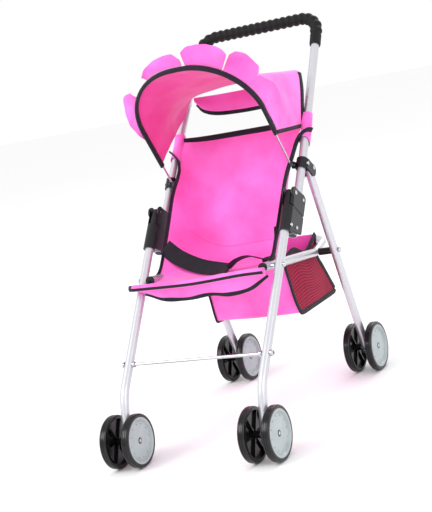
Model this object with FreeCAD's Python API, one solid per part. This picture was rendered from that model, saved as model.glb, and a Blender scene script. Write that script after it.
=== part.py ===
import FreeCAD, Part
import math
import os

# Folding doll stroller. Millimetres, +Z up, the child faces -Y and the child's left is +X.
# Every side-plane place below is (y, z) measured from the point of the floor under the front axle.
# The finished shapes are moved so that the origin is on the floor under the middle of the stroller.

Vector = FreeCAD.Vector
right_way = Vector(1, 0, 0)

# tubes and rods
tube_r = 6.35
tube_wall = 1.0
rod_r = 2.2
wire_r = 1.5
pin_r = 2.0
running_gap = 0.05
rest_gap = 0.4

# linkage pivots in the side plane (y, z)
hinge = (217.6, 314.5)
leg_pivot = (296.4, 335.3)
seat_rear_pivot = (331.9, 203.5)
seat_front_pivot = (140.0, 230.4)
frame_angle = 47.3

# fold: how far each body turns from open to folded, in degrees
handle_fold = 132.0
rear_leg_fold = -56.0
seat_fold = 49.5
canopy_back = -60.0
canopy_forward = 10.0
lock_travel = 5.0

# places across the stroller (half widths)
knuckle_x = 110.0
front_wheel_x = 106.5
rear_leg_x = 110.5
handle_top_x = 104.0
seat_tube_x = 90.5
seat_rear_x = 73.0
hoop_x = 99.0

# wheels
wheel_r = 37.5
wheel_w = 11.0
rim_r = 32.4
wheel_offset = 17.5
axle_r = 2.5
boss_r = 5.0
axle_end = 21.0
nut_r = 4.2
nut_t = 1.2
web_t = 1.8
cover_depth = 4.4
cover_t = 1.4
tread_round = 2.7
groove_depth = 0.8
rib_count = 6
dot_count = 12
dot_ring_r = 23.4
dot_r = 1.1

# legs
front_bend = (18.0, 98.0)
rear_axle_y = 376.5
leg_tail = 8.0
leg_top = -24.0
leg_room = -9.2
tongue_r = 6.4
cross_rod_along = -248.0

# handle, along the upper tube from the hinge (along) and off the front leg's axis (off)
handle_off = -25.0
handle_low = -55.0
handle_straight = 80.0
handle_high = 338.0
handle_bend = 30.0
grip_low = 280.0
grip_r = 9.0

# knuckle: moulded hinge on each side
housing_low = -62.0
housing_high = -22.0
cap_low = -21.6
cap_high = 12.0
heel = 1.0
knuckle_back = -34.0
lobe_r = 9.0
inner_half = 7.9
outer_half = 9.5
fork_half = 6.65
cap_rivet_along = 2.0
knuckle_round = 3.0
knuckle_edge = 1.4

# bracket that carries the rear leg and the canopy hoop
bracket_low = 56.0
bracket_high = 73.0
sleeve_r = 8.6
ear_r = 5.2
bracket_rivet_along = 65.0
hoop_pivot_along = 57.0
hoop_pivot_off = -13.5
leg_pivot_off = -44.4

# canopy
hoop_height = 195.0
hoop_corner = 92.0
hoop_lean = 60.0
canopy_t = 3.0
canopy_foot = 62.0
canopy_back_y = 360.0
canopy_back_low = 398.0
canopy_back_high = 468.0
canopy_back_x = 96.0
ruffle_out = 24.0
ruffle_foot = 105.0

# seat
seat_front_y = 127.0
seat_drop = 26.9 / 191.9
crossbar_y = 396.0
crossbar_z = 212.0
seat_bend = 30.0
pad_t = 6.0
pad_rear_y = 258.0
back_t = 4.0
back_top = (334.0, 404.0)
back_split = (296.0, 300.0)
back_foot = (266.0, 218.0)
strap_w = 25.0
strap_t = 1.4

# basket outline in the side plane and its half width
basket_half = 71.0
basket_wall = 2.5
basket_outline = [(243.0, 190.0), (256.0, 129.5), (397.0, 126.0), (352.0, 188.0)]

across = math.radians(frame_angle)


def frame_yz(along, off):
    """side-plane place of a point given along and off the front leg's line"""
    y = hinge[0] + along * math.cos(across) - off * math.sin(across)
    z = hinge[1] + along * math.sin(across) + off * math.cos(across)
    return (y, z)


def frame_point(x, along, off):
    y, z = frame_yz(along, off)
    return Vector(x, y, z)


def lean(shape):
    """turns a shape drawn as (x, along, off) into the stroller's frame"""
    shape.rotate(Vector(0, 0, 0), right_way, frame_angle)
    shape.translate(Vector(0, hinge[0], hinge[1]))
    return shape


def rounded_edges(points, radius, closed=False):
    """straight runs through the points with every corner turned by an arc"""
    count = len(points)
    corners = range(count) if closed else range(1, count - 1)
    joints = {}
    for i in corners:
        corner = points[i]
        before = (points[i - 1] - corner).normalize()
        after = (points[(i + 1) % count] - corner).normalize()
        half = before.getAngle(after) / 2
        reach = radius / math.tan(half)
        middle = (before + after).normalize()
        centre = corner + middle * (radius / math.sin(half))
        joints[i] = (corner + before * reach, centre - middle * radius, corner + after * reach)
    edges = []
    pairs = range(count) if closed else range(count - 1)
    for i in pairs:
        j = (i + 1) % count
        start = joints[i][2] if i in joints else points[i]
        end = joints[j][0] if j in joints else points[j]
        if (end - start).Length > 1e-6:
            edges.append(Part.LineSegment(start, end).toShape())
        if j in joints:
            edges.append(Part.Arc(*joints[j]).toShape())
    return edges


def swept(points, radius, bend):
    path = Part.Wire(rounded_edges(points, bend))
    ring = Part.Wire([Part.makeCircle(radius, points[0], points[1] - points[0])])
    return path.makePipeShell([ring], True, False)


def hollow_tube(points, bend, outer=tube_r, inner=tube_r - tube_wall):
    return swept(points, outer, bend).cut(swept(points, inner, bend))


def rod(start, end, radius):
    return Part.makeCylinder(radius, (end - start).Length, start, end - start)


def cross_pin(y, z, x_from, x_to, radius):
    return rod(Vector(x_from, y, z), Vector(x_to, y, z), radius)


def slab(outline, x_from, x_to, radius=0.0):
    """side-plane outline of (y, z) points pulled across from x_from to x_to"""
    points = [Vector(x_from, y, z) for y, z in outline]
    if radius:
        wire = Part.Wire(rounded_edges(points, radius, True))
    else:
        wire = Part.makePolygon(points + points[:1])
    return Part.Face(wire).extrude(Vector(x_to - x_from, 0, 0))


def dome(y, z, x, way, radius, height):
    """low rivet or nut head with a softened rim"""
    head = Part.makeCylinder(radius, height, Vector(x, y, z), Vector(way, 0, 0))
    rim = [e for e in head.Edges if abs(e.CenterOfMass.x - (x + way * height)) < 0.01]
    return head.makeFillet(height * 0.6, rim)


def mirrored(shape):
    return shape.mirror(Vector(0, 0, 0), right_way)


def both_sides(shape):
    return Part.makeCompound([shape, mirrored(shape)])


def front_leg():
    top = frame_point(knuckle_x, leg_top, 0)
    straight = frame_point(knuckle_x, -80, 0)
    bend = Vector(front_wheel_x + 0.6, front_bend[0], front_bend[1])
    foot = Vector(front_wheel_x, 0, wheel_r)
    tail = foot + (foot - bend).normalize() * leg_tail
    leg = hollow_tube([top, straight, bend, tail], 60)
    leg = leg.cut(cross_pin(0, wheel_r, front_wheel_x - 12, front_wheel_x + 12, axle_r))
    leg = leg.cut(cross_pin(*seat_front_pivot, knuckle_x - 30, knuckle_x + 12, pin_r))
    y, z = frame_yz(cross_rod_along, 0)
    return leg.cut(cross_pin(y, z, front_wheel_x - 12, front_wheel_x + 12, rod_r))


def cross_rod():
    y, z = frame_yz(cross_rod_along, 0)
    reach = front_wheel_x + 9.5
    return cross_pin(y, z, -reach, reach, rod_r)


def cross_rod_washers():
    """collar on the inner side of each leg and acorn nut on the outer side"""
    y, z = frame_yz(cross_rod_along, 0)
    leg_here = front_wheel_x + 1.2
    bored = cross_pin(y, z, 0, leg_here + 20, rod_r)
    collar = cross_pin(y, z, leg_here - tube_r - 3.4, leg_here - tube_r - 0.4, 4.2).cut(bored)
    nut = dome(y, z, leg_here + tube_r + 0.4, 1, 4.6, 4.2).cut(bored)
    return Part.makeCompound([collar, nut, mirrored(collar), mirrored(nut)])


def axle(x, y):
    return cross_pin(y, wheel_r, x - axle_end, x + axle_end, axle_r)


def axle_caps(x, y):
    """push nuts on both ends of one axle, sunk in the wheels' covers"""
    caps = []
    for way in (-1, 1):
        face = x + way * (wheel_offset + wheel_w / 2 - cover_depth + 0.2)
        cap = dome(y, wheel_r, face, way, nut_r, nut_t)
        caps.append(cap.cut(axle(x, y)))
    return caps


def knuckle_block(outline, low, high):
    """moulding with a round front, flat sides and a softened outer edge, drawn round the leg's axis"""
    half = (inner_half + outer_half) / 2
    middle_x = knuckle_x + (outer_half - inner_half) / 2
    block = slab(outline, knuckle_x - inner_half, knuckle_x + outer_half, knuckle_round)
    outer = [e for e in block.Edges if abs(e.CenterOfMass.x - (knuckle_x + outer_half)) < 0.01]
    block = block.makeFillet(knuckle_edge, outer)
    return block.fuse(Part.makeCylinder(half, high - low, Vector(middle_x, low, 0), Vector(0, 1, 0)))


def housing():
    """lower half of the knuckle, fixed on the front leg, with a tongue that carries the hinge pin"""
    outline = [(housing_low + 12, knuckle_back), (housing_high, knuckle_back),
               (housing_high, 3.0), (housing_low, 3.0)]
    block = knuckle_block(outline, housing_low, housing_high)
    leg_hole = Part.makeCylinder(tube_r, leg_top + 150, Vector(knuckle_x, -150, 0), Vector(0, 1, 0))
    catch = Part.makeCylinder(fork_half, 200, Vector(knuckle_x, -150, handle_off), Vector(0, 1, 0))
    way_out = Part.makeBox(2 * fork_half, 200, 40,
                           Vector(knuckle_x - fork_half, -150, handle_off - 40))
    foot = Vector(knuckle_x, housing_high - 1, 0)
    tongue = Part.makeCylinder(tongue_r, 1 - housing_high, foot, Vector(0, 1, 0))
    tongue = tongue.fuse(Part.makeSphere(tongue_r, Vector(knuckle_x, 0, 0)))
    pin_hole = Part.makeCylinder(pin_r, 60, Vector(knuckle_x - 30, 0, 0), right_way)
    return lean(block.cut(leg_hole).cut(catch).cut(way_out).fuse(tongue).cut(pin_hole))


def housing_rivets():
    """outer heads of the two rivets that hold the housing on the leg"""
    heads = [(-52.0, 0.0), (-48.0, -16.5)]
    rivets = []
    for along, off in heads:
        y, z = frame_yz(along, off)
        rivets.append(dome(y, z, knuckle_x + outer_half, 1, 2.6, 1.4))
    return both_sides(Part.makeCompound(rivets))


def hinge_pins():
    """pins through the top of each front leg, with a head on the outer side"""
    y, z = hinge
    shank = cross_pin(y, z, knuckle_x - inner_half, knuckle_x + outer_half + 0.1, pin_r)
    head = dome(y, z, knuckle_x + outer_half + 0.1, 1, 3.0, 1.5)
    return both_sides(shank.fuse(head))


def seat_bolts():
    """bolts through the front legs on which the seat tube turns"""
    y, z = seat_front_pivot
    leg_x = knuckle_x - 0.55
    inside = seat_tube_x - tube_r - 0.4
    shank = cross_pin(y, z, inside, leg_x + tube_r + 0.3, pin_r)
    head = dome(y, z, leg_x + tube_r + 0.3, 1, 3.6, 1.8)
    collar = cross_pin(y, z, seat_tube_x + tube_r + 0.3, leg_x - tube_r - 0.6, 3.6)
    return both_sides(shank.fuse(head).fuse(collar))


def handle_points(low, grip=False):
    """centre line of the handle from one lower end over the top to the other"""
    left = []
    if not grip:
        left.append(frame_point(knuckle_x, low, handle_off))
        left.append(frame_point(knuckle_x, handle_straight, handle_off))
    else:
        share = (low - handle_straight) / (handle_high - handle_straight)
        left.append(frame_point(knuckle_x + share * (handle_top_x - knuckle_x), low, handle_off))
    left.append(frame_point(handle_top_x, handle_high, handle_off))
    right = [Vector(-p.x, p.y, p.z) for p in reversed(left)]
    return left + right


def handle_tube():
    tube = hollow_tube(handle_points(handle_low), handle_bend)
    for along in (bracket_rivet_along, cap_rivet_along):
        y, z = frame_yz(along, handle_off)
        tube = tube.cut(cross_pin(y, z, -130, 130, pin_r))
    return tube


def handle_grip():
    points = handle_points(grip_low, True)
    return swept(points, grip_r, handle_bend).cut(swept(points, tube_r, handle_bend))


def knuckle_cap():
    """upper half of the knuckle, fixed on the handle tube, with fork ears round the hinge pin"""
    outline = [(cap_low, knuckle_back), (cap_high - 3, knuckle_back), (cap_high, -27.0), (cap_high - 3, -8.0),
               (8.0, 3.0), (cap_low, 3.0)]
    block = knuckle_block(outline, cap_low, 0.0)
    lobe = Part.makeCylinder(lobe_r, inner_half + outer_half, Vector(knuckle_x - inner_half, 0, 0), right_way)
    rims = [e for e in lobe.Edges if abs(e.CenterOfMass.x - (knuckle_x + outer_half)) < 0.01]
    block = block.fuse(lobe.makeFillet(knuckle_edge, rims))
    leg_sweep = Part.makeBox(2 * fork_half, 300, 100, Vector(knuckle_x - fork_half, -150, leg_room))
    heel_sweep = Part.makeBox(60, 30, 60, Vector(knuckle_x - 30, cap_low + heel - 30, -1))
    bore = Part.makeCylinder(tube_r, 300, Vector(knuckle_x, -150, handle_off), Vector(0, 1, 0))
    pin_hole = Part.makeCylinder(pin_r + running_gap, 60, Vector(knuckle_x - 30, 0, 0), right_way)
    shank = Part.makeCylinder(pin_r, 30, Vector(knuckle_x, cap_rivet_along, handle_off), right_way)
    return lean(block.cut(leg_sweep).cut(heel_sweep).cut(bore).cut(pin_hole).cut(shank))


def cap_rivets():
    """rivet that fixes each cap on the handle tube"""
    y, z = frame_yz(cap_rivet_along, handle_off)
    shank = cross_pin(y, z, knuckle_x + 0.6, knuckle_x + outer_half, pin_r)
    return shank, dome(y, z, knuckle_x + outer_half, 1, 2.6, 1.4)


def lock_button():
    """thumb tab behind the cap; it slides up the tube to free the knuckle"""
    outline = [(-12.0, -38.6), (6.0, -38.6), (6.0, -34.3), (-12.0, -34.3)]
    tab = slab(outline, knuckle_x - 5.5, knuckle_x + 6.5, 1.6)
    return lean(tab)


def leg_bracket():
    """clamp round the handle tube with a fork for the rear leg and an ear for the hoop"""
    length = bracket_high - bracket_low
    sleeve = Part.makeCylinder(sleeve_r, length, Vector(knuckle_x, bracket_low, handle_off), Vector(0, 1, 0))
    y, z = leg_pivot
    along, off = bracket_rivet_along, leg_pivot_off
    inner_face = knuckle_x - inner_half
    lobe = Part.makeCylinder(lobe_r, inner_half + outer_half, Vector(inner_face, along, off), right_way)
    web = slab([(along - 8.2, off), (along + 8.2, off), (bracket_high - 0.5, handle_off),
                (bracket_low + 0.5, handle_off)], knuckle_x - inner_half, knuckle_x + outer_half)
    neck = slab([(bracket_low + 0.5, handle_off + 3), (bracket_high - 5, handle_off + 3),
                 (hoop_pivot_along + 4.5, hoop_pivot_off), (hoop_pivot_along - 4.5, hoop_pivot_off)],
                hoop_x + 2.2, hoop_x + 5.4)
    ear = Part.makeCylinder(ear_r, 3.2, Vector(hoop_x + 2.2, hoop_pivot_along, hoop_pivot_off), right_way)
    body = lean(sleeve.fuse(lobe).fuse(web).fuse(neck).fuse(ear))
    fork = Part.makeBox(2 * fork_half + 0.2, 80, 60, Vector(rear_leg_x - fork_half - 0.1, 20, -32.6 - 60))
    bore = Part.makeCylinder(tube_r, 200, Vector(knuckle_x, -20, handle_off), Vector(0, 1, 0))
    eye_start = Vector(hoop_x - 2, hoop_pivot_along, hoop_pivot_off)
    eye = Part.makeCylinder(wire_r + running_gap, 20, eye_start, right_way)
    shank = Part.makeCylinder(pin_r, 30, Vector(knuckle_x, along, handle_off), right_way)
    body = body.cut(lean(fork)).cut(lean(bore)).cut(lean(eye)).cut(lean(shank))
    return body.cut(cross_pin(y, z, knuckle_x - 20, knuckle_x + 20, pin_r))


def leg_pivot_pins():
    """pins on which the rear legs turn, held by the brackets"""
    y, z = leg_pivot
    shank = cross_pin(y, z, knuckle_x - inner_half, knuckle_x + outer_half, pin_r)
    return both_sides(shank.fuse(dome(y, z, knuckle_x + outer_half, 1, 3.0, 1.5)))


def bracket_rivets():
    """rivets that fix the caps and the brackets on the handle tube"""
    y, z = frame_yz(bracket_rivet_along, handle_off)
    shank = cross_pin(y, z, knuckle_x + 0.6, knuckle_x + outer_half, pin_r)
    head = dome(y, z, knuckle_x + outer_half, 1, 2.8, 1.4)
    cap_shank, cap_head = cap_rivets()
    return both_sides(Part.makeCompound([shank.fuse(head), cap_shank.fuse(cap_head)]))


def rear_leg():
    top = Vector(rear_leg_x, leg_pivot[0], leg_pivot[1])
    foot = Vector(rear_leg_x, rear_axle_y, wheel_r)
    way = (foot - top).normalize()
    start = top - way * 6.5
    end = foot + way * leg_tail
    leg = hollow_tube([start, end], 10)
    leg = leg.cut(cross_pin(*leg_pivot, rear_leg_x - 12, rear_leg_x + 12, pin_r + running_gap))
    leg = leg.cut(cross_pin(rear_axle_y, wheel_r, rear_leg_x - 12, rear_leg_x + 12, axle_r))
    return leg.cut(cross_pin(*seat_rear_pivot, rear_leg_x - 12, rear_leg_x + 12, pin_r))


def seat_half_width(y):
    """centre line of the seat tube narrows towards the rear"""
    share = max(0.0, min(1.0, (y - 190.0) / (crossbar_y - 190.0)))
    return seat_tube_x + share * (seat_rear_x - seat_tube_x)


def rear_spacers():
    """spacer and bolt between each rear leg and the seat tube, with a dome nut outside"""
    y, z = seat_rear_pivot
    inside = seat_half_width(y) + tube_r + rest_gap + 0.5
    leg_inner = rear_leg_x - tube_r
    spacer = cross_pin(y, z, inside, leg_inner - 0.5, 5.4)
    bolt = cross_pin(y, z, leg_inner - 0.5, rear_leg_x + tube_r + 0.3, pin_r)
    nut = dome(y, z, rear_leg_x + tube_r + 0.3, 1, 4.0, 4.0)
    return both_sides(spacer), both_sides(bolt.fuse(nut))


def seat_tube_points():
    slope = seat_drop
    front_z = seat_front_pivot[1] + slope * (seat_front_pivot[0] - seat_front_y)
    knee_y = 190.0
    knee_z = seat_front_pivot[1] - slope * (knee_y - seat_front_pivot[0])
    rear_y, rear_z = seat_rear_pivot
    left = [Vector(seat_tube_x, seat_front_y, front_z), Vector(seat_tube_x, knee_y, knee_z),
            Vector(seat_half_width(rear_y), rear_y, rear_z), Vector(seat_rear_x, crossbar_y, crossbar_z)]
    right = [Vector(-p.x, p.y, p.z) for p in reversed(left)]
    return left + right


def seat_tube():
    tube = hollow_tube(seat_tube_points(), seat_bend)
    y, z = seat_front_pivot
    return tube.cut(cross_pin(y, z, -130, 130, pin_r + running_gap))


def seat_plugs():
    """moulded plugs in the front ends of the seat tube"""
    start, after = seat_tube_points()[:2]
    way = (start - after).normalize()
    stem = rod(start - way * 6.0, start, tube_r - tube_wall)
    head = rod(start, start + way * 2.5, tube_r + 0.1)
    return both_sides(stem.fuse(head))


def seat_front_rod():
    """rod in the front hem of the seat, from plug to plug"""
    start, after = seat_tube_points()[:2]
    ahead = start + (start - after).normalize() * 5.0
    reach = seat_tube_x - 5.0
    return cross_pin(ahead.y, ahead.z, -reach, reach, rod_r)


def seat_rivets():
    """rivet heads on the inner faces of the seat tube at its rear pivots"""
    y, z = seat_rear_pivot
    return both_sides(dome(y, z, seat_half_width(y) - tube_r - 0.6, -1, 3.4, 1.5))


def seat_pad():
    front_y = seat_front_y + 4.0
    half_front = seat_tube_x - tube_r - 1.0
    half_rear = seat_half_width(pad_rear_y) - tube_r - 1.0
    sections = []
    for y, half in ((front_y, half_front), (190.0, half_front), (pad_rear_y, half_rear)):
        z = seat_front_pivot[1] - seat_drop * (y - seat_front_pivot[0])
        low = z - pad_t / 2
        high = z + pad_t / 2
        points = [Vector(-half, y, low), Vector(half, y, low), Vector(half, y, high), Vector(-half, y, high)]
        sections.append(Part.makePolygon(points + points[:1]))
    return Part.makeLoft(sections, True, True)


def back_panel(top, foot, half_top, half_foot):
    """flat fabric panel from one side-plane place to another"""
    run = Vector(0, foot[0] - top[0], foot[1] - top[1])
    thick = Vector(0, -run.z, run.y).normalize() * (back_t / 2)
    sections = []
    for place, half in ((top, half_top), (foot, half_foot)):
        middle = Vector(0, place[0], place[1])
        points = [middle + Vector(-half, 0, 0) - thick, middle + Vector(half, 0, 0) - thick,
                  middle + Vector(half, 0, 0) + thick, middle + Vector(-half, 0, 0) + thick]
        sections.append(Part.makePolygon(points + points[:1]))
    return Part.makeLoft(sections, True, True)


def strap(start, end):
    """flat webbing with its width up the slope of the seat"""
    sections = []
    for point in (start, end):
        half = Vector(0, 0.35, 0.94) * (strap_w / 2)
        lift = Vector(0, -0.94, 0.35) * strap_t
        points = [point - half, point + half, point + half + lift, point - half + lift]
        sections.append(Part.makePolygon(points + points[:1]))
    return Part.makeLoft(sections, True, True)


def hoop_place(x, up):
    """a point of the canopy hoop's own plane"""
    y, z = frame_yz(hoop_pivot_along, hoop_pivot_off)
    tilt = math.radians(hoop_lean)
    return Vector(x, y - up * math.cos(tilt), z + up * math.sin(tilt))


def canopy_hoop():
    points = [hoop_place(hoop_x, 0), hoop_place(hoop_x, hoop_height),
              hoop_place(-hoop_x, hoop_height), hoop_place(-hoop_x, 0)]
    wire = swept(points, wire_r, hoop_corner)
    y, z = frame_yz(hoop_pivot_along, hoop_pivot_off)
    tip = cross_pin(y, z, hoop_x, hoop_x + 6.2, wire_r)
    knob = Part.makeSphere(wire_r, Vector(hoop_x, y, z))
    for piece in (tip, knob):
        wire = wire.fuse(piece).fuse(mirrored(piece))
    return wire


def arch_wire(place, half, low, high, corner, thick):
    """closed outline of an upside-down U band; place gives a point from (x, up)"""
    outer = [place(half, low), place(half, high), place(-half, high), place(-half, low)]
    inner = [place(-half + thick, low), place(-half + thick, high - thick),
             place(half - thick, high - thick), place(half - thick, low)]
    edges = rounded_edges(outer, corner)
    edges.append(Part.LineSegment(outer[-1], inner[0]).toShape())
    edges += rounded_edges(inner, corner - thick)
    edges.append(Part.LineSegment(inner[-1], outer[0]).toShape())
    return Part.Wire(edges)


def canopy():
    """hood between the hoop and the handle, open below, in front and behind"""
    behind = Vector(0, math.sin(math.radians(hoop_lean)), math.cos(math.radians(hoop_lean))) * 2.2
    front = arch_wire(lambda x, up: hoop_place(x, up) + behind, hoop_x + 1.2, canopy_foot,
                      hoop_height + 1.5, hoop_corner, canopy_t)
    rear = arch_wire(lambda x, up: Vector(x, canopy_back_y, up), canopy_back_x, canopy_back_low,
                     canopy_back_high, hoop_corner * 0.6, canopy_t)
    return Part.makeLoft([front, rear], True, True)


def ruffle():
    """frill that stands out of the canopy just behind the hoop"""
    behind = Vector(0, math.sin(math.radians(hoop_lean)), math.cos(math.radians(hoop_lean)))
    high = hoop_height + ruffle_out
    ring = arch_wire(lambda x, up: hoop_place(x, up) + behind * 2.2, hoop_x + ruffle_out, ruffle_foot,
                     high, hoop_corner + ruffle_out * 0.6, ruffle_out - 2.5)
    return Part.Face(ring).extrude(behind * 5.0)


def basket():
    """open-topped bag below the seat"""
    outer = slab(basket_outline, -basket_half, basket_half)
    (y1, z1), (y2, z2), (y3, z3), (y4, z4) = basket_outline
    wall = basket_wall
    hollow = [(y1 + wall, z1 + 20), (y2 + wall, z2 + wall),
              (y3 - 2.2 * wall, z3 + wall), (y4 - wall, z4 + 20)]
    inner = slab(hollow, -basket_half + wall, basket_half - wall)
    return outer.cut(inner)


def ring_point(side, radius):
    return Vector(side, radius, 0)


def wheel(x, y, way):
    """moulded wheel on its axle; way is the side that faces away from the leg"""
    half = wheel_w / 2
    shoulder = half - tread_round
    over = tread_round * (1 - math.sqrt(0.5))
    low = wheel_r - groove_depth
    edges = [Part.LineSegment(ring_point(-half, rim_r), ring_point(-half, wheel_r - tread_round))]
    edges.append(Part.Arc(ring_point(-half, wheel_r - tread_round), ring_point(-half + over, wheel_r - over),
                          ring_point(-shoulder, wheel_r)))
    side = -shoulder
    for middle in (-1.5, 1.5):
        edges.append(Part.LineSegment(ring_point(side, wheel_r), ring_point(middle - 0.7, wheel_r)))
        edges.append(Part.Arc(ring_point(middle - 0.7, wheel_r), ring_point(middle, low),
                              ring_point(middle + 0.7, wheel_r)))
        side = middle + 0.7
    edges.append(Part.LineSegment(ring_point(side, wheel_r), ring_point(shoulder, wheel_r)))
    edges.append(Part.Arc(ring_point(shoulder, wheel_r), ring_point(half - over, wheel_r - over),
                          ring_point(half, wheel_r - tread_round)))
    edges.append(Part.LineSegment(ring_point(half, wheel_r - tread_round), ring_point(half, rim_r)))
    edges.append(Part.LineSegment(ring_point(half, rim_r), ring_point(-half, rim_r)))
    profile = Part.Wire([edge.toShape() for edge in edges])
    tread = Part.Face(profile).revolve(Vector(0, 0, 0), right_way, 360)
    web_face = half - cover_depth
    web = Part.makeCylinder(rim_r, web_t, Vector(web_face - web_t, 0, 0), right_way)
    boss_end = -(wheel_offset - tube_r - rest_gap)
    boss = Part.makeCylinder(boss_r, web_face - boss_end, Vector(boss_end, 0, 0), right_way)
    solid = tread.fuse(web).fuse(boss)
    for i in range(rib_count):
        rib = Part.makeBox(web_face - 0.5 + 4.0, rim_r - boss_r + 1.0, 1.8, Vector(-4.0, boss_r - 0.5, -0.9))
        rib.rotate(Vector(0, 0, 0), right_way, 360.0 / rib_count * i)
        solid = solid.fuse(rib)
    bore = Part.makeCylinder(axle_r + running_gap, 60, Vector(-30, 0, 0), right_way)
    return placed(solid.cut(bore), x, y, way)


def hub_cap(x, y, way):
    """light cover in the wheel's outer face, stepped in from its rim, with a ring of small holes"""
    half = wheel_w / 2
    seat = half - cover_depth
    disc = seat + cover_t
    outline = [(axle_r + 2.2, seat), (rim_r, seat), (rim_r, half - 0.3), (rim_r - 0.6, half + 0.1),
               (30.0, half + 0.1), (29.4, half - 0.2), (27.4, disc), (26.6, disc), (25.8, disc + 0.5),
               (axle_r + 2.2, disc + 0.8)]
    points = [Vector(side, radius, 0) for radius, side in outline]
    cover = Part.Face(Part.makePolygon(points + points[:1])).revolve(Vector(0, 0, 0), right_way, 360)
    for i in range(dot_count):
        turn = 2 * math.pi * i / dot_count
        centre = Vector(seat + 0.4, dot_ring_r * math.cos(turn), dot_ring_r * math.sin(turn))
        cover = cover.cut(Part.makeCylinder(dot_r, 4, centre, right_way))
    return placed(cover, x, y, way)


def placed(shape, x, y, way):
    """puts a wheel piece drawn at the origin on its axle, facing way"""
    if way < 0:
        shape = mirrored(shape)
    shape.translate(Vector(x, y, wheel_r))
    return shape


parts = {}


def add_pair(name, shape):
    parts[name + "_left"] = shape
    parts[name + "_right"] = mirrored(shape)


# fixed frame: front legs and what is fastened to them
add_pair("front_leg", front_leg())
parts["front_cross_rod"] = cross_rod()
parts["cross_rod_fasteners"] = cross_rod_washers()
add_pair("front_axle", axle(front_wheel_x, 0))
add_pair("knuckle_housing", housing())
parts["housing_rivets"] = housing_rivets()
parts["hinge_pins"] = hinge_pins()
parts["seat_pivot_bolts"] = seat_bolts()
front_caps = axle_caps(front_wheel_x, 0)
parts["front_axle_caps"] = both_sides(Part.makeCompound(front_caps))

# handle
parts["handle_tube"] = handle_tube()
parts["handle_grip"] = handle_grip()
add_pair("knuckle_cap", knuckle_cap())
add_pair("leg_bracket", leg_bracket())
parts["bracket_rivets"] = bracket_rivets()
parts["leg_pivot_pins"] = leg_pivot_pins()
add_pair("lock_button", lock_button())

# rear legs
add_pair("rear_leg", rear_leg())
add_pair("rear_axle", axle(rear_leg_x, rear_axle_y))
parts["rear_spacers"], parts["rear_pivot_bolts"] = rear_spacers()
rear_caps = axle_caps(rear_leg_x, rear_axle_y)
parts["rear_axle_caps"] = both_sides(Part.makeCompound(rear_caps))

# seat frame
parts["seat_tube"] = seat_tube()
parts["seat_front_rod"] = seat_front_rod().cut(parts["seat_tube"]).cut(seat_plugs())
parts["seat_plugs"] = seat_plugs()
parts["seat_rivets"] = seat_rivets()

# soft pieces
parts["seat_pad"] = seat_pad()
parts["backrest"] = back_panel(back_top, back_split, 91.0, 87.0)
parts["backrest_lower"] = back_panel((back_split[0] - 1, back_split[1] - 3), back_foot, 87.0, 72.0)
parts["waist_strap_right"] = strap(Vector(-84, 178, 266), Vector(-12, 196, 244))
parts["waist_strap_left"] = strap(Vector(84, 178, 266), Vector(12, 196, 244))
parts["strap_buckle"] = slab([(189, 234), (195, 230), (202, 247), (196, 251)], -11.5, 11.5, 1.0)
parts["canopy_hoop"] = canopy_hoop()
parts["canopy"] = canopy()
parts["canopy_ruffle"] = ruffle()
parts["basket"] = basket()

# four pairs of wheels
for end, x_leg, y_axle in (("front", front_wheel_x, 0), ("rear", rear_leg_x, rear_axle_y)):
    for place, way in (("inner", -1), ("outer", 1)):
        centre = x_leg + way * wheel_offset
        for side, mirror_side in (("left", False), ("right", True)):
            for kind, maker in (("tyre", wheel), ("hub_cap", hub_cap)):
                shape = maker(centre, y_axle, way)
                parts["_".join((kind, end, side, place))] = mirrored(shape) if mirror_side else shape

# the origin goes on the floor under the middle of the stroller's length
handle_back = frame_yz(handle_high, handle_off)[0] + grip_r
middle_y = (handle_back - wheel_r) / 2

os.makedirs("parts", exist_ok=True)
for node, shape in parts.items():
    shape.translate(Vector(0, -middle_y, 0))
    shape.exportStep("parts/" + node + ".step")
    if not shape.isValid():
        print("not valid:", node)
print("sub-parts:", len(parts), "middle_y", round(middle_y, 3))
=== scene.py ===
import math

import bpy
from mathutils import Matrix, Vector, noise


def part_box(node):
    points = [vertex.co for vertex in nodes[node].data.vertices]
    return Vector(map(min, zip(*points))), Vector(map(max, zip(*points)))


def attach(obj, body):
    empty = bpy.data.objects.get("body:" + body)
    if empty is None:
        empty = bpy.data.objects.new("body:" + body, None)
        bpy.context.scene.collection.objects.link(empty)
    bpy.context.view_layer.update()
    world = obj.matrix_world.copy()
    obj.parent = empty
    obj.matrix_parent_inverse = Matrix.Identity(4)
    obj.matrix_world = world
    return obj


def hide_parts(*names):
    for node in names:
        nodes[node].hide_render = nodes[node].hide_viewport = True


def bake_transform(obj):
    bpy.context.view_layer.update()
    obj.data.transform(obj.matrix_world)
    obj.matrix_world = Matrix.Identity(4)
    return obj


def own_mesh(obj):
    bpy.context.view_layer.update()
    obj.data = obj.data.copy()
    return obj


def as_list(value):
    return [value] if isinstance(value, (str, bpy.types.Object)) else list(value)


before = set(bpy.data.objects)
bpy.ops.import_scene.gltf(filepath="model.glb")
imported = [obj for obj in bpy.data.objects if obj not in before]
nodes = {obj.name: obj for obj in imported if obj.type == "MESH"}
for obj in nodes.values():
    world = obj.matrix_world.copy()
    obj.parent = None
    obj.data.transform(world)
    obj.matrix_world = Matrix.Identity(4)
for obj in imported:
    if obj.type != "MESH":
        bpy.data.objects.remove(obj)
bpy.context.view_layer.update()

print("frame loaded:", len(nodes), "nodes")


# places are given in millimetres from the floor under the front axle and turned to metres here

def centreOf(node):
    low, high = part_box(node)
    return (low + high) / 2


axleY = centreOf("front_axle_left").y
tubeLine = {"y": 217.6, "z": 314.5, "angle": math.radians(47.3)}


def at(x, y, z):
    return Vector((x / 1000, y / 1000 + axleY, z / 1000))


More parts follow.
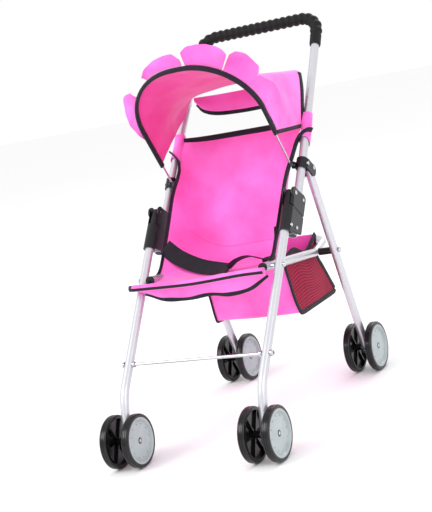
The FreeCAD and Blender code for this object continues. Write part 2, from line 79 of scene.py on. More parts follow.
def onLine(x, along, off):  # along the front leg and handle from the hinge, off towards the front
    c, s = math.cos(tubeLine["angle"]), math.sin(tubeLine["angle"])
    return at(x, tubeLine["y"] + along * c - off * s, tubeLine["z"] + along * s + off * c)


def smoothPath(points, count):
    # even steps along a Catmull-Rom curve through the points
    fine, steps = [], 24
    ends = [points[0] * 2 - points[1]] + list(points) + [points[-1] * 2 - points[-2]]
    for i in range(1, len(ends) - 2):
        a, b, c, d = ends[i - 1:i + 3]
        for k in range(steps):
            t = k / steps
            fine.append(0.5 * (2 * b + (c - a) * t + (2 * a - 5 * b + 4 * c - d) * t * t
                               + (3 * b - a - 3 * c + d) * t ** 3))
    fine.append(points[-1].copy())
    return evenSteps(fine, count)


def evenSteps(points, count):
    runs = [0.0]
    for i in range(1, len(points)):
        runs.append(runs[-1] + (points[i] - points[i - 1]).length)
    out, k = [], 1
    for i in range(count):
        goal = runs[-1] * i / (count - 1)
        while k < len(points) - 1 and runs[k] < goal:
            k += 1
        span = max(runs[k] - runs[k - 1], 1e-9)
        out.append(points[k - 1].lerp(points[k], min(1.0, (goal - runs[k - 1]) / span)))
    return out


def pick(points, share):
    # a place part way along a list of points
    goal = max(0.0, min(1.0, share)) * (len(points) - 1)
    i = min(int(goal), len(points) - 2)
    return points[i].lerp(points[i + 1], goal - i)


def ripple(place, size, seed):
    # soft uneven folds, from -1 to 1
    p = Vector(place) / size
    return noise.noise(p + Vector((seed, seed * 0.7, -seed)))


def smoothStep(low, high, value):
    t = max(0.0, min(1.0, (value - low) / (high - low)))
    return t * t * (3 - 2 * t)


def unpick():
    if bpy.context.object and bpy.context.object.mode != "OBJECT":
        bpy.ops.object.mode_set(mode="OBJECT")
    bpy.ops.object.select_all(action="DESELECT")


def holdOnly(piece):
    unpick()
    piece.select_set(True)
    bpy.context.view_layer.objects.active = piece


def shapedGrid(name, cols, rows, place, size):
    # a flat grid whose points go where place(u, w) says; its UV map is in metres
    unpick()
    bpy.ops.mesh.primitive_grid_add(x_subdivisions=cols, y_subdivisions=rows, size=2)
    piece = bpy.context.object
    piece.name = name
    piece.data.name = name
    uv = piece.data.uv_layers[0].data
    for loop in piece.data.loops:
        co = piece.data.vertices[loop.vertex_index].co
        uv[loop.index].uv = ((co.x + 1) / 2 * size[0], (co.y + 1) / 2 * size[1])
    for v in piece.data.vertices:
        v.co = place(v.co.x, (v.co.y + 1) / 2)
    return piece


def addModifier(piece, kind, **settings):
    holdOnly(piece)
    made = piece.modifiers.new(kind.title(), kind)
    for key, value in settings.items():
        setattr(made, key, value)
    bpy.ops.object.modifier_apply(modifier=made.name)


def finish(piece, body, material, replaced=()):
    # a body of None leaves the piece attached to no body
    holdOnly(piece)
    bpy.ops.object.transform_apply(location=True, rotation=True, scale=True)
    bpy.ops.object.shade_smooth()
    piece.data.materials.clear()
    piece.data.materials.append(material)
    if body:
        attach(piece, body)
    if replaced:
        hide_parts(*replaced)
    return piece


def clothSheet(name, cols, rows, place, size, thick=0.9):
    # cloth with a real thickness in mm
    piece = shapedGrid(name, cols, rows, place, size)
    addModifier(piece, "SUBSURF", levels=1, render_levels=1)
    addModifier(piece, "SOLIDIFY", thickness=thick / 1000, offset=0.0)
    return piece


def sweptBand(name, points, sides, width, thick, around=14, power=3.0, swell=None):
    # a flat band with rounded edges along the points; sides give the way of its width, sizes in mm
    count = len(points)
    total = sum((points[i + 1] - points[i]).length for i in range(count - 1))

    def place(u, w):
        k = min(int(round(w * (count - 1))), count - 1)
        before, after = points[max(k - 1, 0)], points[min(k + 1, count - 1)]
        along = (after - before).normalized()
        side = sides(k / (count - 1)) if callable(sides) else sides
        side = (side - along * side.dot(along)).normalized()
        face = along.cross(side)
        turn = math.pi * (u + 1)
        c, s = math.cos(turn), math.sin(turn)
        grow = swell(k / (count - 1)) if swell else 1.0
        a = math.copysign(abs(c) ** (2 / power), c) * width / 2000 * grow
        b = math.copysign(abs(s) ** (2 / power), s) * thick / 2000 * grow
        return points[k] + side * a + face * b

    piece = shapedGrid(name, around, count - 1, place, ((width + thick) * 0.002, total))
    closeEnds(piece)
    return piece


def closeEnds(piece):
    holdOnly(piece)
    bpy.ops.object.mode_set(mode="EDIT")
    bpy.ops.mesh.select_all(action="SELECT")
    bpy.ops.mesh.remove_doubles(threshold=0.00002)
    bpy.ops.mesh.select_all(action="DESELECT")
    bpy.ops.mesh.select_non_manifold()
    bpy.ops.mesh.fill_holes(sides=0)
    bpy.ops.mesh.select_all(action="SELECT")
    bpy.ops.mesh.normals_make_consistent(inside=False)
    bpy.ops.object.mode_set(mode="OBJECT")


def colour(hexText):
    values = [int(hexText[i:i + 2], 16) / 255 for i in (1, 3, 5)]
    return [v / 12.92 if v <= 0.04045 else ((v + 0.055) / 1.055) ** 2.4 for v in values] + [1.0]


def addNode(tree, kind, settings=None, links=None):
    # settings are the node's own options or its sockets' values
    node = tree.nodes.new("ShaderNode" + kind)
    for key, value in (settings or {}).items():
        if isinstance(key, str) and hasattr(node, key):
            setattr(node, key, value)
        else:
            node.inputs[key].default_value = value
    for key, source in (links or {}).items():
        tree.links.new(source, node.inputs[key])
    return node


def startMaterial(name, **settings):
    material = bpy.data.materials.new(name)
    material.use_nodes = True
    tree = material.node_tree
    tree.nodes.clear()
    shader = addNode(tree, "BsdfPrincipled", settings)
    addNode(tree, "OutputMaterial", links={"Surface": shader.outputs[0]})
    return material, tree, shader


def mixColours(tree, factor, first, second):
    mix = addNode(tree, "Mix", {"data_type": "RGBA"}, {0: factor})
    for socket, value in ((6, first), (7, second)):
        if isinstance(value, str):
            mix.inputs[socket].default_value = colour(value)
        else:
            tree.links.new(value, mix.inputs[socket])
    return mix.outputs[2]


def bumpFrom(tree, shader, height, strength, distance):
    bump = addNode(tree, "Bump", {"Strength": strength, "Distance": distance}, {"Height": height})
    tree.links.new(bump.outputs[0], shader.inputs["Normal"])


def cloudy(tree, place, scale, detail=2.0, rough=0.5):
    # uneven patches; the scale is in patches to the metre, about
    made = addNode(tree, "TexNoise", {"Scale": scale, "Detail": detail, "Roughness": rough},
                   {"Vector": place.outputs["Object"]})
    return made.outputs[0]


def spread(tree, value, low, high, fromLow=0.0, fromHigh=1.0):
    ends = {"From Min": fromLow, "From Max": fromHigh, "To Min": low, "To Max": high}
    made = addNode(tree, "MapRange", ends, {"Value": value})
    return made.outputs[0]


def stripes(tree, place, way, spacing):
    # bands across X or Y of the UV map, spacing in mm; at scale 1 a wave's bands are 0.314 m apart
    made = addNode(tree, "TexWave", {"bands_direction": way, "Scale": 0.314 / (spacing / 1000)},
                   {"Vector": place.outputs["UV"]})
    return made.outputs[1]


def product(tree, first, second):
    return addNode(tree, "Math", {"operation": "MULTIPLY"}, {0: first, 1: second}).outputs[0]


def wovenPolyester(name, light, deep):
    # polyester taffeta, plain woven and calendered: soft sheen, cloudy tone, faint threads
    # the real threads are 0.4 mm apart and are drawn 1.6 mm apart so that they show
    material, tree, shader = startMaterial(name, Roughness=0.62, **{
        "Sheen Weight": 0.25, "Sheen Roughness": 0.5, "Specular IOR Level": 0.3})
    place = addNode(tree, "TexCoord")
    soft = spread(tree, cloudy(tree, place, 14.0, 3.0, 0.6), 0.35, 1.0, 0.36, 0.68)
    tone = mixColours(tree, soft, deep, light)
    threads = product(tree, stripes(tree, place, "X", 1.6), stripes(tree, place, "Y", 1.6))
    darker = spread(tree, threads, 0.0, 0.1)
    tree.links.new(mixColours(tree, darker, tone, deep), shader.inputs["Base Color"])
    crumple = cloudy(tree, place, 60.0, 4.0)
    height = addNode(tree, "Math", {"operation": "MULTIPLY_ADD", 1: 0.12}, {0: threads, 2: crumple})
    bumpFrom(tree, shader, height.outputs[0], 0.25, 0.0016)
    return material


def grosgrain(name, light, deep, rib):
    # polyester tape woven with cross ribs; rib spacing in mm
    material, tree, shader = startMaterial(name, Roughness=0.7, **{
        "Sheen Weight": 0.1, "Sheen Roughness": 0.4, "Specular IOR Level": 0.25})
    place = addNode(tree, "TexCoord")
    ribs = stripes(tree, place, "Y", rib)
    worn = product(tree, ribs, cloudy(tree, place, 90.0, 3.0))
    tree.links.new(mixColours(tree, worn, deep, light), shader.inputs["Base Color"])
    bumpFrom(tree, shader, ribs, 0.5, 0.0006)
    return material


def knittedMesh(name, light, deep, shadow, pitch):
    # warp-knitted net with small round holes; the real pitch is about 1 mm, drawn coarser to show
    material, tree, shader = startMaterial(name, Roughness=0.8, **{
        "Sheen Weight": 0.08, "Specular IOR Level": 0.15})
    place = addNode(tree, "TexCoord")
    cells = addNode(tree, "TexVoronoi", {"Scale": 1000 / pitch, "Randomness": 0.0},
                    {"Vector": place.outputs["UV"]})
    hole = spread(tree, cells.outputs["Distance"], 0.0, 1.0, 0.24, 0.4)
    tone = mixColours(tree, cloudy(tree, place, 20.0), deep, light)
    tree.links.new(mixColours(tree, hole, shadow, tone), shader.inputs["Base Color"])
    bumpFrom(tree, shader, hole, 0.6, 0.0008)
    return material


def powderCoat(name, base, metal, rough):
    # steel tube with metallic powder coat: bright, slightly pebbled, a little uneven in gloss
    material, tree, shader = startMaterial(name, Metallic=metal, **{
        "Coat Weight": 0.25, "Coat Roughness": 0.2})
    place = addNode(tree, "TexCoord")
    flake = cloudy(tree, place, 900.0)
    tree.links.new(mixColours(tree, flake, base[0], base[1]), shader.inputs["Base Color"])
    gloss = spread(tree, cloudy(tree, place, 25.0, 3.0), rough - 0.06, rough + 0.08)
    tree.links.new(gloss, shader.inputs["Roughness"])
    bumpFrom(tree, shader, flake, 0.08, 0.0002)
    return material


def mouldedPlastic(name, light, deep, rough, grain, coat, gleam):
    # injection-moulded plastic: fine grain from the mould and faint smears in the gloss
    material, tree, shader = startMaterial(name, IOR=1.5, **{
        "Coat Weight": coat, "Coat Roughness": 0.12, "Specular IOR Level": gleam})
    place = addNode(tree, "TexCoord")
    smear = cloudy(tree, place, 45.0, 4.0)
    tree.links.new(mixColours(tree, smear, deep, light), shader.inputs["Base Color"])
    tree.links.new(spread(tree, smear, rough - 0.05, rough + 0.1), shader.inputs["Roughness"])
    bumpFrom(tree, shader, cloudy(tree, place, grain), 0.12, 0.0002)
    return material


def platedSteel(name, tint, rough):
    # zinc-plated steel: bright, slightly cloudy
    material, tree, shader = startMaterial(name, Metallic=1.0)
    place = addNode(tree, "TexCoord")
    cloud = cloudy(tree, place, 220.0, 3.0)
    tree.links.new(mixColours(tree, cloud, tint[0], tint[1]), shader.inputs["Base Color"])
    tree.links.new(spread(tree, cloud, rough - 0.05, rough + 0.1), shader.inputs["Roughness"])
    return material


pinkTaffeta = wovenPolyester("pinkTaffeta", "#FF7FE0", "#FA4FB2")
# painted shade: the canopy's own cloth in a deeper pink, for the hood's shaded inner faces
pinkPaintedShade = wovenPolyester("pinkPaintedShade", "#F04CAA", "#E02C8A")
blackTape = grosgrain("blackTape", "#2C2B38", "#15151C", 1.4)
blackWebbing = grosgrain("blackWebbing", "#33313C", "#18171C", 2.0)
crimsonMesh = knittedMesh("crimsonMesh", "#C22450", "#96143A", "#4A0818", 4.2)
silverTube = powderCoat("silverTube", ("#B9BAC0", "#E4E4EA"), 0.75, 0.33)
brightSteel = platedSteel("brightSteel", ("#B4B6BA", "#DADCE0"), 0.22)
blackAbs = mouldedPlastic("blackAbs", "#1A1B20", "#0A0B0E", 0.28, 700.0, 0.0, 0.36)
blackPvc = mouldedPlastic("blackPvc", "#101014", "#040406", 0.2, 350.0, 0.12, 0.36)
foamGrip = mouldedPlastic("foamGrip", "#121214", "#040405", 0.6, 420.0, 0.0, 0.3)
greyHub = mouldedPlastic("greyHub", "#B4BEC0", "#939FA2", 0.32, 500.0, 0.3, 0.5)

cadLooks = {
    silverTube: ("front_leg_left", "front_leg_right", "rear_leg_left", "rear_leg_right", "handle_tube",
                 "seat_tube"),
    brightSteel: ("front_cross_rod", "cross_rod_fasteners", "front_axle_left", "front_axle_right",
                  "rear_axle_left", "rear_axle_right", "housing_rivets", "hinge_pins", "seat_pivot_bolts",
                  "bracket_rivets", "leg_pivot_pins", "rear_pivot_bolts", "seat_rivets", "canopy_hoop"),
    blackAbs: ("knuckle_housing_left", "knuckle_housing_right", "knuckle_cap_left", "knuckle_cap_right",
               "leg_bracket_left", "leg_bracket_right", "lock_button_left", "lock_button_right",
               "rear_spacers", "seat_plugs", "front_axle_caps", "rear_axle_caps"),
    blackPvc: [name for name in nodes if name.startswith("tyre")],
    greyHub: [name for name in nodes if name.startswith("hub_cap")],
}
for material, names in cadLooks.items():
    for name in names:
        nodes[name].data.materials.clear()
        nodes[name].data.materials.append(material)
creaseAngle = math.radians(35)  # edges sharper than this stay sharp
for node in nodes.values():
    holdOnly(node)
    bpy.ops.object.shade_smooth_by_angle(angle=creaseAngle)
print("materials made")


upward = Vector((0, 0, 1))


def edgeOf(place, w):
    # the points of a sheet's edge, from one side to the other
    return [place(k / 30 - 1, w) for k in range(61)]


# foam grip: corrugated sleeve over the handle's bar and corners

handleOff = -25.0  # the handle tube runs this far behind the front leg's line
grip = {"from": 280.0, "top": 338.0, "x": 104.0, "xFoot": 105.35, "bend": 30.0, "radius": 8.6, "ripple": 0.95,
        "pitch": 11.0, "cuff": 17.0, "steps": 261}


def gripPath():
    left = [(grip["xFoot"], grip["from"])]
    r = grip["bend"]
    for k in range(13):
        turn = math.pi / 2 * k / 12
        left.append((grip["x"] - r + r * math.cos(turn), grip["top"] - r + r * math.sin(turn)))
    whole = left + [(-x, along) for x, along in reversed(left)]
    return evenSteps([onLine(x, along, handleOff) for x, along in whole], grip["steps"])


gripPoints = gripPath()
gripLength = sum((b - a).length for a, b in zip(gripPoints, gripPoints[1:])) * 1000


def gripSwell(share):
    # plain cuffs at both ends, round ribs between them
    place = share * gripLength
    end = min(place, gripLength - place)
    if end < grip["cuff"]:
        return 0.93 + 0.07 * smoothStep(0, 2.5, end)
    wavy = math.cos(2 * math.pi * (place - grip["cuff"]) / grip["pitch"])
    rib = abs((wavy + 1) / 2) ** 0.7 * 2 - 1
    return 1.0 + grip["ripple"] / grip["radius"] * rib * smoothStep(0, 6, end - grip["cuff"])


acrossTube = Vector((0, -math.sin(tubeLine["angle"]), math.cos(tubeLine["angle"])))
gripWide = grip["radius"] * 2
handleGrip = sweptBand("foamGripSleeve", gripPoints, acrossTube, gripWide, gripWide, 28, 2.0, gripSwell)
finish(handleGrip, "handle", foamGrip, ("handle_grip",))
print("grip made")


# canopy: one sheet from the hoop to the rear edge, with its bindings

canopy = {"leftFoot": 62.0, "rightFoot": 38.0, "height": 195.0, "half": 99.0, "corner": 92.0,
          "lean": math.radians(60), "pivot": (57.0, -13.5), "sag": 5.0, "out": 2.4, "widest": 0.106,
          "cut": (0.416, 0.21), "area": 0.058, "flapCut": (0.19, 0.031), "flapArea": 0.0053}


def hoopLine(x, up, back):
    # up the hoop's own plane from its pivot, and behind that plane
    foot = onLine(x, *canopy["pivot"])
    c, s = math.cos(canopy["lean"]), math.sin(canopy["lean"])
    return foot + Vector((0, -c * up + s * back, s * up + c * back)) / 1000


def hoopRun(fromUp, toUp, out, back, count):
    # from the child's right foot over the top to the left foot
    h, r, e = canopy["half"] + out, canopy["corner"] + out, canopy["height"] + out
    turns = [math.pi / 2 * k / 16 for k in range(17)]
    flat = [(-h, fromUp), (-h, (fromUp + e - r) / 2), (-h, e - r)]
    flat += [(-h + r - r * math.cos(t), e - r + r * math.sin(t)) for t in turns[1:]]
    flat += [(h - r + r * math.sin(t), e - r + r * math.cos(t)) for t in turns]
    flat += [(h, (toUp + e - r) / 2), (h, toUp)]
    return evenSteps([hoopLine(x, up, back) for x, up in flat], count)


canopyFront = hoopRun(canopy["rightFoot"], canopy["leftFoot"], canopy["out"], 1.0, 121)
rearEdge = smoothPath([at(-103, 385, 450), at(-101, 384, 459), at(-92, 380, 469), at(-50, 374, 472),
                       at(0, 370, 472), at(50, 364, 474), at(90, 359, 476), at(101, 358, 470),
                       at(102.5, 350, 450), at(102.5, 338, 423), at(102.5, 326, 396)], 121)


def canopyPlace(u, w):
    # u from the child's right to left, w from the hoop to the rear edge
    share = (u + 1) / 2
    a, b = pick(canopyFront, share), pick(rearEdge, share)
    p = a.lerp(b, w)
    hang = math.sin(math.pi * w)
    top = smoothStep(0.16, 0.3, share) * smoothStep(0.16, 0.3, 1 - share)
    p.z -= canopy["sag"] / 1000 * hang * top
    side = 1 if u > 0 else -1
    p.x += side * 0.002 * hang * (1 - top)
    soft = ripple(p, 0.045, 3.1) * 3.2 + ripple(p, 0.02, 9.4) * 1.1
    puckers = math.sin(share * 70 + 3 * ripple(p, 0.05, 1.0)) * 1.2
    puckers *= math.exp(-w * 7) * smoothStep(0, 0.05, w)
    shift = (soft * hang + puckers) / 1000
    p.z += shift * top
    p.x += side * shift * (1 - top)
    p.x = max(-canopy["widest"], min(canopy["widest"], p.x))
    return p


def paintShadeInside(piece, material, middle):
    # the same cloth looks deeper inside the hood, being in its own shade, so the inner faces get a deeper
    # pink: painted shade
    piece.data.materials.append(material)
    for face in piece.data.polygons:
        if face.normal.dot(middle - face.center) > 0:
            face.material_index = 1


canopySheet = clothSheet("canopySheet", 96, 44, canopyPlace, canopy["cut"])
finish(canopySheet, None, pinkTaffeta, ("canopy",))
# paints shade on the canopy's inner faces with the deeper pink
paintShadeInside(canopySheet, pinkPaintedShade, at(0, 310, 430))
hoopFoot = onLine(0, *canopy["pivot"])
behindHoop = Vector((0, math.sin(canopy["lean"]), math.cos(canopy["lean"])))
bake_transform(canopySheet)

frontLine = hoopRun(canopy["rightFoot"] - 2, canopy["leftFoot"] - 2, 0.6, 0.4, 141)
frontBinding = sweptBand("canopyFrontBinding", frontLine, behindHoop, 9.0, 5.6, 16, 2.4)
finish(frontBinding, "canopy_frame", blackTape)

rearBandLine = smoothPath([at(101, 358, 471), at(103.2, 350, 450), at(103.2, 338, 423),
                           at(103.2, 326, 396)], 41)
rearBand = sweptBand("canopyRearBand", rearBandLine, Vector((0, -0.9, 0.43)), 10.5, 2.6)
finish(rearBand, "handle", blackTape)
lowEdge = [canopyPlace(1.0, k / 40) for k in range(41)]
lowBinding = sweptBand("canopyLowBinding", lowEdge, Vector((0, 0.4, 0.9)), 6.0, 2.4)
finish(lowBinding, None, blackTape)
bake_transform(lowBinding)

# flap that hangs below the rear edge between the handle tubes
flapTop = smoothPath([at(-94, 381, 462), at(-50, 375, 461), at(0, 371, 461), at(50, 365, 463),
                      at(92, 360, 464)], 61)
flapLow = smoothPath([at(-90, 380, 452), at(-78, 376, 440), at(-50, 372, 433), at(-10, 370, 431),
                      at(30, 367, 432), at(70, 362, 438), at(92, 360, 448)], 61)


def flapPlace(u, w):
    share = (u + 1) / 2
    p = pick(flapTop, share).lerp(pick(flapLow, share), w)
    p.y += (ripple(p, 0.03, 5.5) * 2.5 - 4 * math.sin(math.pi * w)) / 1000
    return p


rearFlap = clothSheet("canopyRearFlap", 48, 10, flapPlace, canopy["flapCut"])
finish(rearFlap, "handle", pinkTaffeta)
flapBinding = sweptBand("canopyFlapBinding", edgeOf(flapPlace, 1.0), upward, 8.0, 2.4)
finish(flapBinding, "handle", blackTape)
print("canopy made")


# frill: flaps of one gathered strip that stand out of the hoop

# from and to are places along the hoop from the child's right foot, reach in mm is taken along the flap,
# back is how many degrees it lies back and curl is in mm
frill = [
    {"from": 0.138, "to": 0.305, "reach": (3, 9, 15, 20, 23, 15), "back": 6, "curl": 3,
     "cut": (0.08, 0.024), "area": 0.0014},
    {"from": 0.385, "to": 0.522, "reach": (9, 15, 18, 19, 19, 13), "back": 22, "curl": 4,
     "cut": (0.068, 0.02), "area": 0.0013},
    {"from": 0.532, "to": 0.645, "reach": (25, 28, 31, 34, 37, 37), "back": 3, "curl": 2,
     "cut": (0.056, 0.038), "area": 0.0021},
    {"from": 0.648, "to": 0.735, "reach": (28, 32, 34, 33, 30, 25), "back": 34, "curl": 9,
     "cut": (0.046, 0.036), "area": 0.0016},
    {"from": 0.730, "to": 0.905, "reach": (22, 34, 40, 40, 34, 18), "back": 84, "curl": 3,
     "cut": (0.09, 0.041), "area": 0.0029},
]
frillRun = hoopRun(20.0, 20.0, 3.4, 3.2, 201)


def frillPiece(k, flag):
    def place(u, w):
        share = flag["from"] + (flag["to"] - flag["from"]) * (u + 1) / 2
        foot = pick(frillRun, share)
        ahead = (pick(frillRun, share + 0.01) - pick(frillRun, share - 0.01)).normalized()
        outward = ahead.cross(behindHoop).normalized()
        step = (u + 1) / 2 * (len(flag["reach"]) - 1)
        i = min(int(step), len(flag["reach"]) - 2)
        near, far = flag["reach"][i:i + 2]
        reach = near + (far - near) * smoothStep(0, 1, step - i)
        corner = 1 - 0.16 * max(0.0, abs(u) - 0.8) / 0.2 * w
        lie = math.radians(flag["back"] + 10 * math.sin(u * 2.2 + k) * w)
        curl = flag["curl"] * math.sin(u * 3.1 + k * 1.7) * w * w
        curl += 2.2 * ripple(foot + Vector((0, 0, w * 0.03)), 0.02, k) * w
        away = outward * math.cos(lie) + behindHoop * math.sin(lie)
        over = behindHoop * math.cos(lie) - outward * math.sin(lie)
        return foot + (away * reach * w * corner + over * curl) / 1000

    piece = clothSheet("canopyFrill%d" % (k + 1), 24, 12, place, flag["cut"])
    finish(piece, "canopy_frame", pinkTaffeta, ("canopy_ruffle",) if k == 0 else ())


for k, flag in enumerate(frill):
    frillPiece(k, flag)
print("frill made")


# sling seat: backrest, side wings and seat in one run of stations from the top to the front edge

sling = [  # side edge (x, y, z) and middle (y, z)
    {"edge": (101.0, 333, 402), "middle": (336, 400)},
    {"edge": (98.0, 306, 378), "middle": (327, 374)},
    {"edge": (95.0, 279, 354), "middle": (317, 344)},
    {"edge": (94.0, 251, 334), "middle": (305, 312)},
    {"edge": (92.5, 214, 294), "middle": (288, 266)},
    {"edge": (91.5, 180, 256), "middle": (266, 222)},
    {"edge": (91.0, 155, 234), "middle": (205, 217)},
    {"edge": (91.0, 121, 228.5), "middle": (121, 227)},
]
slingLeft = smoothPath([at(*s["edge"]) for s in sling], 161)
slingMiddle = smoothPath([at(0, *s["middle"]) for s in sling], 161)
backShare = 0.5  # where the backrest's upper piece ends


def slingPlace(u, w):
    # u across from side to side, w down the sling; the middle sags and the sides turn up as wings
    e, m = pick(slingLeft, w), pick(slingMiddle, w)
    f = 1 - (1 - abs(u)) ** 1.5
    deep = 1 - f ** 4.5
    p = Vector((math.copysign(e.x * f, u), e.y + (m.y - e.y) * deep, e.z + (m.z - e.z) * deep))
    loose = smoothStep(0, 0.15, w) * smoothStep(0, 0.1, 1 - w)
    folds = ripple(Vector((p.x, p.z * 0.7, 0)), 0.05, 7.3) * 4.0
    folds += ripple(Vector((p.x, p.z, 0)), 0.022, 2.2) * 1.2
    p.y += folds * loose * deep / 1000
    p.z += 0.5 * folds * loose * deep / 1000
    return p


slingCut = {"back": (0.26, 0.165), "backArea": 0.037, "seat": (0.28, 0.165), "seatArea": 0.037,
            "valance": (0.19, 0.023), "valanceArea": 0.0037, "sleeve": (0.052, 0.05)}
bindingFace = Vector((0, 0.75, -0.55))
backSheet = clothSheet("backrestSheet", 64, 48, lambda u, w: slingPlace(u, w * backShare), slingCut["back"])
finish(backSheet, "handle", pinkTaffeta, ("backrest",))
seatSheet = clothSheet("seatSheet", 64, 60, lambda u, w: slingPlace(u, backShare + w * (1 - backShare)),
                       slingCut["seat"])
finish(seatSheet, "seat_frame", pinkTaffeta, ("seat_pad", "backrest_lower"))
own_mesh(seatSheet)

topBand = sweptBand("backrestTopBand", edgeOf(slingPlace, 0.004), Vector((0, 0.1, 1)), 11.0, 2.6)
finish(topBand, "handle", blackTape)


def flip(p):
    return Vector((-p.x, p.y, p.z))


def sleevePiece(name, side):
    # pocket of cloth round the handle tube
    def place(u, w):
        along = 152 - 48 * w + 5 * math.sin(u * math.pi) * w
        turn = math.pi * u
        r = 7.9 + 0.5 * math.sin(3 * turn + 5 * w)
        x = 110.0 - 6.0 * (along - 80) / 258
        p = onLine(x + r * math.cos(turn), along, handleOff + r * math.sin(turn))
        return p if side > 0 else flip(p)

    piece = clothSheet(name, 32, 12, place, slingCut["sleeve"])
    finish(piece, "handle", pinkTaffeta)


backTapes, seatTapes = [topBand], []
for label, side in (("Left", 1), ("Right", -1)):
    sleevePiece("sleeve" + label, side)
    roundTube = [onLine(118.5, 122, handleOff), onLine(115.5, 118, -17.2), onLine(108, 111, -15.0),
                 onLine(100.5, 102, -18.0)]
    upper = smoothPath(roundTube + [pick(slingLeft, w) for w in (0.2, 0.26, 0.33, 0.4, 0.46, backShare)], 61)
    lower = [pick(slingLeft, backShare + (1 - backShare) * k / 60) for k in range(61)]
    if side < 0:
        upper, lower = [flip(p) for p in upper], [flip(p) for p in lower]
    high = sweptBand("sideBindingUpper" + label, upper, bindingFace, 9.5, 2.6)
    finish(high, "handle", blackTape)
    backTapes.append(high)
    low = sweptBand("sideBindingLower" + label, lower, bindingFace, 9.5, 2.6)
    finish(low, "seat_frame", blackTape)
    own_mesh(low)
    seatTapes.append(low)
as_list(backTapes)
print("sling made")


# seat front: hem round the rod, piping and hanging valance

# the hem and its rod run past the leg on the child's right to a plug; the CAD rod inside is shorter
hemLine = smoothPath([at(-115, 115, 226), at(-90, 117, 225), at(-30, 118, 224), at(10, 118, 225.5),
                      at(57, 118, 228.5), at(95, 118.5, 229)], 61)
hem = sweptBand("seatFrontHem", hemLine, Vector((0, 1, 0)), 11.0, 10.0, 16, 2.0)
finish(hem, "seat_frame", pinkTaffeta, ("seat_front_rod",))
plugLine = evenSteps([at(-120, 114.6, 226.4), at(-112, 115.2, 226)], 9)
rodPlug = sweptBand("seatRodPlug", plugLine, Vector((0, 1, 0)), 9.0, 9.0, 16, 2.0)
finish(rodPlug, "seat_frame", blackAbs)
pipingLine = [p + Vector((0, -0.0052, -0.0008)) for p in hemLine]
piping = sweptBand("seatFrontPiping", pipingLine, upward, 4.2, 3.0, 12, 2.0)
finish(piping, "seat_frame", blackTape)
valanceTop = [p + Vector((0, 0.001, -0.004)) for p in hemLine]
valanceLow = smoothPath([at(-100, 122, 216), at(-74, 124, 205), at(-40, 127, 201), at(0, 126, 204),
                         at(35, 126, 201), at(66, 127, 206), at(93, 128, 221)], 61)


def valancePlace(u, w):
    share = (u + 1) / 2
    p = pick(valanceTop, share).lerp(pick(valanceLow, share), w)
    p.y += 0.0015 * math.sin(share * 26) * w
    return p


valance = clothSheet("seatValance", 56, 8, valancePlace, slingCut["valance"])
finish(valance, "seat_frame", pinkTaffeta)
valanceBinding = sweptBand("seatValanceBinding", edgeOf(valancePlace, 1.0), upward, 7.5, 2.4)
finish(valanceBinding, "seat_frame", blackTape)
print("seat front made")



# waist straps, and the loop where they meet
straps = {"wide": 24.0, "narrow": 12.0, "loop": 18.0, "thick": 1.8, "square": 5.0}


def strapPiece(name, line, sides, width, around, replaced):
    piece = sweptBand(name, line, sides, width, straps["thick"], around, straps["square"])
    finish(piece, "seat_frame", blackWebbing, (replaced,))
    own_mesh(piece)


rightStrap = smoothPath([at(-89, 184, 268), at(-72, 190, 248), at(-45, 196, 231), at(-14, 193, 224.5),
                         at(6, 186, 223)], 49)
leftStrap = smoothPath([at(90.5, 196, 275), at(84, 202, 256), at(76, 206, 241), at(66, 206, 230),
                        at(54, 202, 226)], 33)
loopLine = smoothPath([at(4, 190, 225), at(16, 196, 233), at(34, 200, 236), at(52, 200, 231),
                       at(62, 204, 226)], 41)
strapPiece("waistStrapWide", rightStrap, lambda t: Vector((0.25 * (1 - t), 0.25 + 0.6 * t, 0.95 - 0.5 * t)),
           straps["wide"], 16, "waist_strap_right")
strapPiece("waistStrapNarrow", leftStrap, Vector((0.4, 0.8, 0.4)), straps["narrow"], 14, "waist_strap_left")
strapPiece("waistStrapLoop", loopLine, Vector((0.0, 0.9, -0.3)), straps["loop"], 14, "strap_buckle")
print("waist straps made")


# basket: pink run from the front over the floor to the back, mesh sides, black bindings

basket = {"half": 70.0, "sag": 5.0, "bulge": 3.0, "tape": 7.5, "cut": (0.14, 0.335), "netCut": (0.13, 0.088),
          "netArea": 0.0108}
basketRun = smoothPath([at(0, 243, 214), at(0, 245, 192), at(0, 250, 160), at(0, 255.5, 137),
                        at(0, 262, 130), at(0, 300, 128.5), at(0, 350, 127.5), at(0, 388, 127),
                        at(0, 394, 130), at(0, 385, 146), at(0, 366, 172), at(0, 354, 192),
                        at(0, 356, 212), at(0, 362, 226)], 121)


def basketPlace(u, w):
    # u across, w from the front's top edge over the floor to the back's top edge
    p = pick(basketRun, w).copy()
    middle = 1 - u * u
    floor = smoothStep(0.25, 0.35, w) * smoothStep(0.3, 0.4, 1 - w)
    p.x = u * basket["half"] / 1000 * (0.955 + 0.045 * smoothStep(0.05, 0.3, w))
    p.z -= basket["sag"] / 1000 * middle * floor
    swell = 3.5 * middle * smoothStep(0, 0.1, w) * (1 - smoothStep(0.25, 0.32, w))
    p.y -= (swell + ripple(p, 0.03, 4.4) * 2.0) / 1000
    return p


basketCloth = clothSheet("basketCloth", 40, 72, basketPlace, basket["cut"])
finish(basketCloth, "seat_frame", pinkTaffeta, ("basket",))


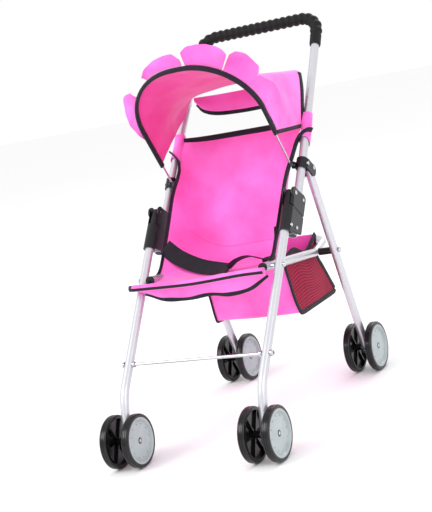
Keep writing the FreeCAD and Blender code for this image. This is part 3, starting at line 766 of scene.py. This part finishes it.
def basketSide(name, side):
    front = [basketPlace(side, 0.30 * k / 30) for k in range(31)]
    back = [basketPlace(side, 1.0 - 0.27 * k / 30) for k in range(31)]
    top = smoothPath([front[0], front[0].lerp(back[0], 0.3) + Vector((0, 0, 0.004)),
                      front[0].lerp(back[0], 0.62) + Vector((0, 0, -0.013)), back[0]], 41)
    floorLine = evenSteps([basketPlace(side, 0.30 + 0.43 * k / 60) for k in range(61)], 41)

    def place(u, w):
        share = (u + 1) / 2
        a, b = pick(floorLine, share), pick(top, share)
        ends = pick(list(reversed(front)), w).lerp(pick(list(reversed(back)), w), share)
        straight = a.lerp(b, w)
        corner = floorLine[0].lerp(top[0], w).lerp(floorLine[-1].lerp(top[-1], w), share)
        p = straight + ends - corner
        p.x += side * basket["bulge"] / 1000 * math.sin(math.pi * share) * math.sin(math.pi * w)
        return p

    net = clothSheet(name, 36, 18, place, basket["netCut"], 0.6)
    finish(net, "seat_frame", crimsonMesh)
    edges = (("Front", [basketPlace(side, 0.33 * k / 40) for k in range(41)], Vector((0, 1, 0))),
             ("Floor", [basketPlace(side, 0.33 + 0.42 * k / 40) for k in range(41)], upward),
             ("Back", [basketPlace(side, 0.75 + 0.25 * k / 40) for k in range(41)], Vector((0, 1, 0))),
             ("Top", [place(k / 20 - 1, 1.0) for k in range(41)], upward))
    justOutside = Vector((side * 0.0006, 0, 0))
    for label, line, way in edges:
        tape = sweptBand(name + label + "Binding", [p + justOutside for p in line], way, basket["tape"], 2.4)
        finish(tape, "seat_frame", blackTape)


basketSide("basketNetLeft", 1)
basketSide("basketNetRight", -1)
print("basket made")


# floor, light and camera
bpy.ops.mesh.primitive_plane_add(size=14, location=(0, 0, 0))
floor = bpy.context.object
floor.name = "studioFloor"
paper = startMaterial("whitePaper", Roughness=0.9, **{"Base Color": colour("#FAFAFA")})[0]
floor.data.materials.append(paper)

world = bpy.data.worlds.new("studioAir")
bpy.context.scene.world = world
world.use_nodes = True
world.node_tree.nodes["Background"].inputs[0].default_value = colour("#FFFFFF")
world.node_tree.nodes["Background"].inputs[1].default_value = 1.0


lookedAt = Vector((0, 0, 0.25))  # the middle of the stroller


def softLight(name, place, power, size):
    data = bpy.data.lights.new(name, "AREA")
    data.energy = power
    data.size = size
    lamp = bpy.data.objects.new(name, data)
    bpy.context.scene.collection.objects.link(lamp)
    lamp.location = place
    lamp.rotation_mode = "QUATERNION"
    lamp.rotation_quaternion = (lookedAt - Vector(place)).to_track_quat("-Z", "Y")


softLight("keyBox", (-1.3, -1.9, 1.9), 34, 1.3)
softLight("fillBox", (1.9, -1.0, 1.1), 10, 1.2)
softLight("backBox", (0.3, 1.9, 1.7), 12, 1.2)

camera = {"azimuth": 28.85, "elevation": 9.644, "roll": -12.401, "from": (904.1, -1492.8, 566.1),
          "lens": 94.61, "shift": (0.012, 0.0074)}
a, e, r = (math.radians(camera[k]) for k in ("azimuth", "elevation", "roll"))
back = Vector((math.sin(a) * math.cos(e), -math.cos(a) * math.cos(e), math.sin(e)))
right = upward.cross(back).normalized()
up = back.cross(right)
turned = (right * math.cos(r) + up * math.sin(r), up * math.cos(r) - right * math.sin(r), back)
view = bpy.data.cameras.new("studioCamera")
view.sensor_width = 36
view.lens = camera["lens"]
view.shift_x, view.shift_y = camera["shift"]
view.clip_end = 50
eye = bpy.data.objects.new("studioCamera", view)
bpy.context.scene.collection.objects.link(eye)
eye.matrix_world = Matrix.Translation(at(*camera["from"])) @ Matrix(turned).transposed().to_4x4()
bpy.context.scene.camera = eye
bpy.context.scene.view_settings.view_transform = "Standard"
print("stage set")
